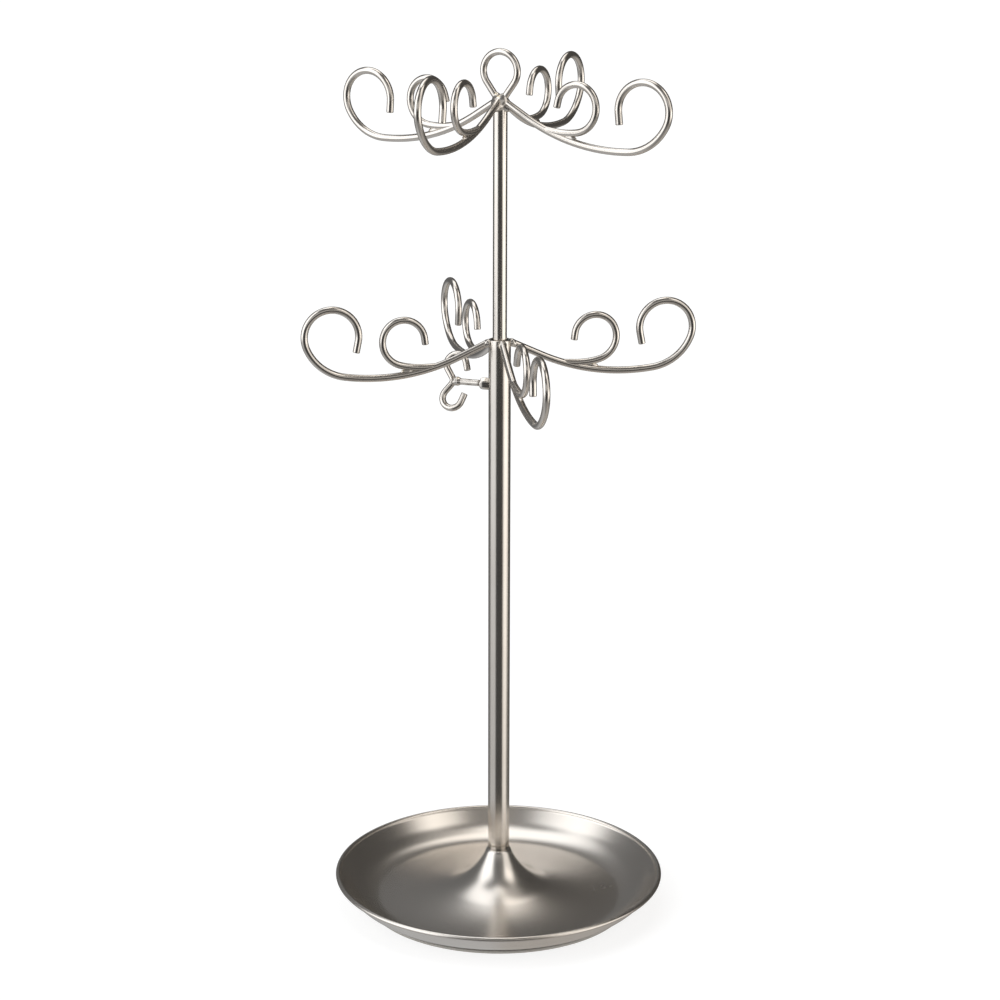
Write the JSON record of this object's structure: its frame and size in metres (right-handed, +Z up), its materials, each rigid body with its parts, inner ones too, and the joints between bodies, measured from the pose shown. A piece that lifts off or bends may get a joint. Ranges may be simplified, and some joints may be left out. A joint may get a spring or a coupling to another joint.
{
  "type": "mug tree",
  "caption": "Height-adjustable satin nickel hook tree: tiers of forked scroll hooks on a telescoping post with a wire thumbscrew and top loop, on a round dish base.",
  "frame": {"origin": "centre of the foot, on the surface that it stands on", "axes": "+Z up along the post; +X close to the lower tier's right hook, +Y close to its back hook"},
  "size_m": [0.1774, 0.1775, 0.3964],
  "materials": {
    "satin_dish": "satin nickel plate over pressed steel sheet",
    "satin_post": "satin nickel plate over drawn steel tube and bar",
    "satin_wire": "satin nickel plate over steel wire",
    "weld_metal": "plated weld and braze beads, slightly warmer and uneven",
    "plated_hardware": "zinc plated hardware",
    "nylon": "natural nylon",
    "foot_foam": "black foam rubber sheet"
  },
  "bodies": {
    "stand": {"base_screw": "plated_hardware", "base_washer": "plated_hardware", "dish_base": "satin_dish", "foot_pad": "foot_foam", "lower_branch_back": "satin_wire", "lower_branch_front": "satin_wire", "lower_branch_left": "satin_wire", "lower_branch_right": "satin_wire", "lower_crotch_welds": "weld_metal", "lower_hook_back": "satin_wire", "lower_hook_front": "satin_wire", "lower_hook_left": "satin_wire", "lower_hook_right": "satin_wire", "lower_root_welds": "weld_metal", "lower_tube": "satin_post", "tube_plug": "plated_hardware", "weld_nut": "satin_wire"},
    "guide": {"guide_bush": "nylon"},
    "upper_post": {"bush_clip": "plated_hardware", "crown_weld": "weld_metal", "post_rod": "satin_post", "top_loop": "satin_wire", "upper_branch_back": "satin_wire", "upper_branch_front": "satin_wire", "upper_branch_left": "satin_wire", "upper_branch_right": "satin_wire", "upper_crotch_welds": "weld_metal", "upper_hook_back": "satin_wire", "upper_hook_front": "satin_wire", "upper_hook_left": "satin_wire", "upper_hook_right": "satin_wire"},
    "screw_tip": {"pressure_tip": "nylon"},
    "thumbscrew": {"screw_shank": "satin_wire", "screw_horns": "satin_wire", "horn_weld": "weld_metal"}
  },
  "joints": [
    {"name": "post_slide", "type": "slide", "parent": "stand", "child": "guide", "axis": [0, 0, 1], "range_m": [-0.06, 0.06]},
    {"name": "post_turn", "type": "hinge", "parent": "guide", "child": "upper_post", "pos_m": [0, 0, 0.18], "axis": [0, 0, 1], "continuous": true},
    {"name": "screw_travel", "type": "slide", "parent": "stand", "child": "screw_tip", "axis": [-0.8425, 0.5388, 0], "range_m": [0, 0.0025]},
    {"name": "screw_turn", "type": "hinge", "parent": "screw_tip", "child": "thumbscrew", "pos_m": [0, 0, 0.2478], "axis": [-0.8425, 0.5388, 0], "range_deg": [0, 1805]}
  ],
  "couplings": [
    {"joint": "screw_turn", "follows": "screw_travel", "rad_per_m": 12566}
  ]
}
